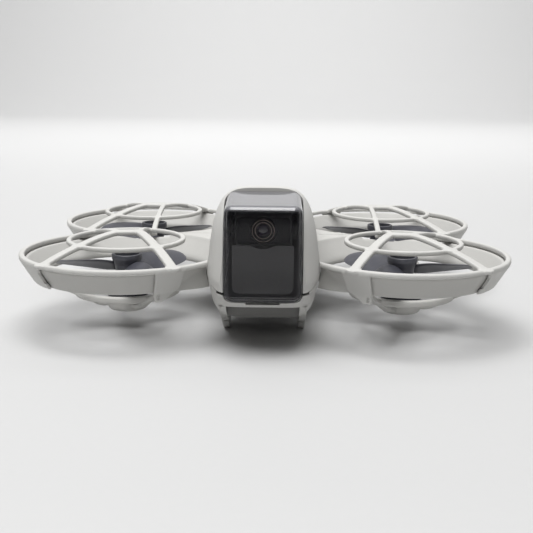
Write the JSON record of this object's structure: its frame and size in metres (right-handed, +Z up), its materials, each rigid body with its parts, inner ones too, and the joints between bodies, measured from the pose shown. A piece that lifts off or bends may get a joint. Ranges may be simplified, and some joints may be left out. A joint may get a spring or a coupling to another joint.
{
  "type": "ducted camera quadcopter",
  "caption": "Palm-size camera drone: narrow shell body, four guarded duct rotors, tilting camera behind a clear slide-off cover, slide-out battery.",
  "frame": {"origin": "on the floor under the middle of the drone's box", "axes": "+Z up, nose and camera towards -Y, the drone's left side towards +X"},
  "size_m": [0.157, 0.13, 0.0485],
  "materials": {
    "shell": "fine matte",
    "frame": "fine matte",
    "blade": "satin",
    "black_plastic": "satin",
    "gloss_black": "polished",
    "clear_cover": "smoked clear plastic",
    "lens": "coated",
    "mask": "satin",
    "steel": "brushed",
    "winding": "enamelled wire",
    "circuit": "solder mask",
    "ceramic": "matte",
    "cell": "film wrapped",
    "lamp": "frosted"
  },
  "bodies": {
    "airframe": {"upper_shell": "shell", "lower_shell": "shell", "belly_screw_1": "steel", "belly_screw_2": "steel", "belly_screw_3": "steel", "belly_screw_4": "steel", "main_board": "circuit", "heat_sink": "steel", "positioning_antenna": "ceramic", "battery_connector": "black_plastic", "usb_port": "steel", "battery_light_pipe": "lamp", "mode_light_pipe": "lamp", "sensor_window": "gloss_black", "downward_sensor": "lens", "gimbal_bracket": "black_plastic", "tilt_motor": "black_plastic", "duct_front_left": "frame", "prop_guard_front_left": "shell", "motor_mount_front_left": "frame", "stator_front_left": "winding", "duct_front_right": "frame", "prop_guard_front_right": "shell", "motor_mount_front_right": "frame", "stator_front_right": "winding", "duct_rear_left": "frame", "prop_guard_rear_left": "shell", "motor_mount_rear_left": "frame", "stator_rear_left": "winding", "duct_rear_right": "frame", "prop_guard_rear_right": "shell", "motor_mount_rear_right": "frame", "stator_rear_right": "winding"},
    "rotor_front_left": {"motor_bell_front_left": "blade", "propeller_front_left": "blade"},
    "rotor_front_right": {"motor_bell_front_right": "blade", "propeller_front_right": "blade"},
    "rotor_rear_left": {"motor_bell_rear_left": "blade", "propeller_rear_left": "blade"},
    "rotor_rear_right": {"motor_bell_rear_right": "blade", "propeller_rear_right": "blade"},
    "camera": {"camera_housing": "black_plastic", "camera_face": "gloss_black", "lens_barrel": "black_plastic", "lens_glass": "lens"},
    "cover": {"gimbal_cover": "clear_cover", "cover_mask": "mask"},
    "battery": {"battery_case": "shell", "battery_board": "circuit", "battery_cell_left": "cell", "battery_cell_right": "cell"},
    "latch_left": {"battery_latch_left": "frame"},
    "latch_right": {"battery_latch_right": "frame"},
    "power_key": {"power_button": "shell"},
    "mode_key": {"mode_button": "shell"}
  },
  "joints": [
    {"name": "spin_front_left", "type": "hinge", "parent": "airframe", "child": "rotor_front_left", "pos_m": [0.0447, -0.0307, 0.02], "axis": [0, 0, 1], "continuous": true},
    {"name": "spin_front_right", "type": "hinge", "parent": "airframe", "child": "rotor_front_right", "pos_m": [-0.0447, -0.0307, 0.02], "axis": [0, 0, 1], "continuous": true},
    {"name": "spin_rear_left", "type": "hinge", "parent": "airframe", "child": "rotor_rear_left", "pos_m": [0.0447, 0.0307, 0.02], "axis": [0, 0, 1], "continuous": true},
    {"name": "spin_rear_right", "type": "hinge", "parent": "airframe", "child": "rotor_rear_right", "pos_m": [-0.0447, 0.0307, 0.02], "axis": [0, 0, 1], "continuous": true},
    {"name": "camera_tilt", "type": "hinge", "parent": "airframe", "child": "camera", "pos_m": [0, -0.0526, 0.0375], "axis": [1, 0, 0], "range_deg": [-60, 90]},
    {"name": "cover_pull", "type": "slide", "parent": "airframe", "child": "cover", "axis": [0, -1, 0], "range_m": [0, 0.02]},
    {"name": "battery_slide", "type": "slide", "parent": "airframe", "child": "battery", "axis": [0, 1, 0], "range_m": [0, 0.064]},
    {"name": "latch_left_press", "type": "slide", "parent": "battery", "child": "latch_left", "axis": [-1, 0, 0], "range_m": [0, 0.001], "stiffness_N_per_m": 800},
    {"name": "latch_right_press", "type": "slide", "parent": "battery", "child": "latch_right", "axis": [1, 0, 0], "range_m": [0, 0.001], "stiffness_N_per_m": 800},
    {"name": "power_press", "type": "slide", "parent": "airframe", "child": "power_key", "axis": [0, 0, -1], "range_m": [0, 0.0005], "stiffness_N_per_m": 800},
    {"name": "mode_press", "type": "slide", "parent": "airframe", "child": "mode_key", "axis": [0, 0, -1], "range_m": [0, 0.0005], "stiffness_N_per_m": 800}
  ]
}
